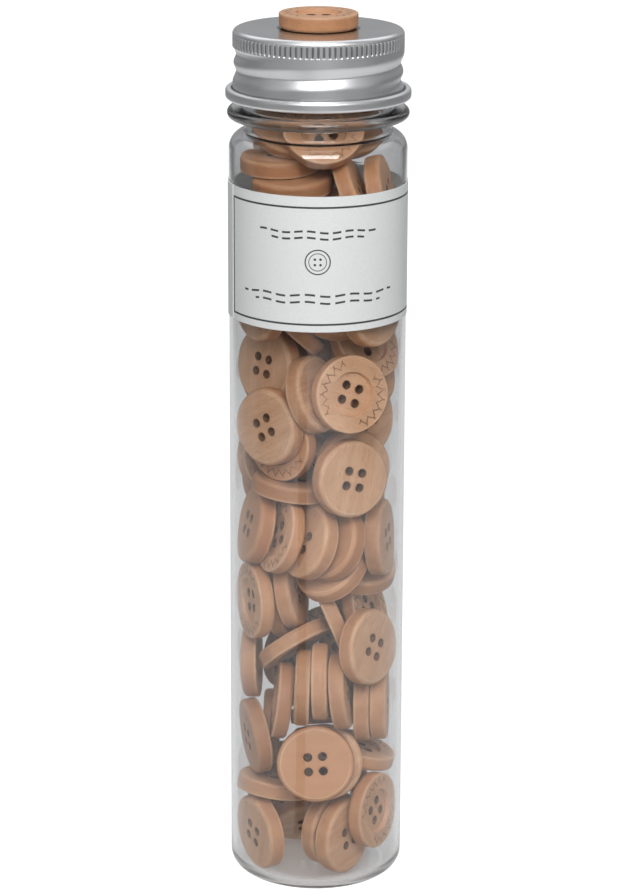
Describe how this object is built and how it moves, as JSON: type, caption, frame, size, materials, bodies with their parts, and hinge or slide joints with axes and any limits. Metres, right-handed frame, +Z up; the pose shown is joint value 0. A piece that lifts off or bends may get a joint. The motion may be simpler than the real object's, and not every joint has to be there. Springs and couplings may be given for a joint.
{
  "type": "tube of buttons",
  "caption": "Clear tube filled with four-hole wooden sewing buttons, with a knurled metal screw cap, a button as the cap's knob and a blank paper label.",
  "frame": {"origin": "middle of the tube's base, on the plane that it stands on", "axes": "+Z up along the tube's axis, +X to the right and -Y towards the viewer of the picture"},
  "size_m": [0.047, 0.047, 0.2296],
  "materials": {
    "clear_plastic": "clear, glossy",
    "aluminium": "satin, rolled and pressed",
    "liner_board": "pressed board, matt",
    "label_paper": "matt, printed with an outline drawing of a button and rows of stitches",
    "wood": "turned and tumbled, satin, fine grain"
  },
  "bodies": {
    "jar": {"tube": "clear_plastic", "label": "label_paper", "button_across_leaning": "wood", "button_bottom_back": "wood", "button_bottom_left": "wood", "button_bottom_right": "wood", "button_fan_behind": "wood", "button_fan_front": "wood", "button_front_dished": "wood", "button_front_plain": "wood", "button_front_plain_second": "wood", "button_left_lying": "wood", "button_low_front_plain": "wood", "button_low_front_second": "wood", "button_low_left_lying": "wood", "button_low_left_plain": "wood", "button_low_right_dished": "wood", "button_low_right_flat": "wood", "button_mid_dished": "wood", "button_mid_face_up": "wood", "button_mid_left_dished": "wood", "button_mid_right_back": "wood", "button_mid_right_dished": "wood", "button_mid_right_plain": "wood", "button_mid_upright_brown": "wood", "button_mid_upright_left": "wood", "button_neck_back_left": "wood", "button_neck_back_right": "wood", "button_neck_dished": "wood", "button_neck_face_up": "wood", "button_neck_leaning": "wood", "button_neck_left_flat": "wood", "button_neck_right_plain": "wood", "button_neck_second": "wood", "button_right_tilted": "wood", "button_right_wall_dished": "wood", "button_right_wall_plain": "wood", "button_slim_leaning": "wood", "button_top_left_plain": "wood", "button_under_label_left": "wood", "button_under_label_middle": "wood", "button_under_label_right": "wood", "button_under_label_wall": "wood", "button_upper_left_dished": "wood", "button_upper_left_plain": "wood", "button_upper_right_back": "wood", "button_upright_far_right": "wood", "button_upright_leaning": "wood", "button_upright_left": "wood", "button_upright_middle_left": "wood", "button_upright_middle_right": "wood", "button_upright_right": "wood", "button_wall_left_low": "wood", "button_wall_left_mid": "wood", "button_wall_right_mid": "wood", "inner_buttons_high": "wood", "inner_buttons_low": "wood"},
    "liner": {"cap_liner": "liner_board"},
    "cap": {"screw_cap": "aluminium", "knob_button": "wood"}
  },
  "joints": [
    {"name": "cap_lift", "type": "slide", "parent": "jar", "child": "liner", "axis": [0, 0, 1], "range_m": [0, 0.018]},
    {"name": "cap_turn", "type": "hinge", "parent": "liner", "child": "cap", "pos_m": [0, 0, 0.2256], "axis": [0, 0, 1], "range_deg": [0, 1530]}
  ],
  "couplings": [
    {"joint": "cap_lift", "follows": "cap_turn", "m_per_rad": 0.00067322}
  ]
}
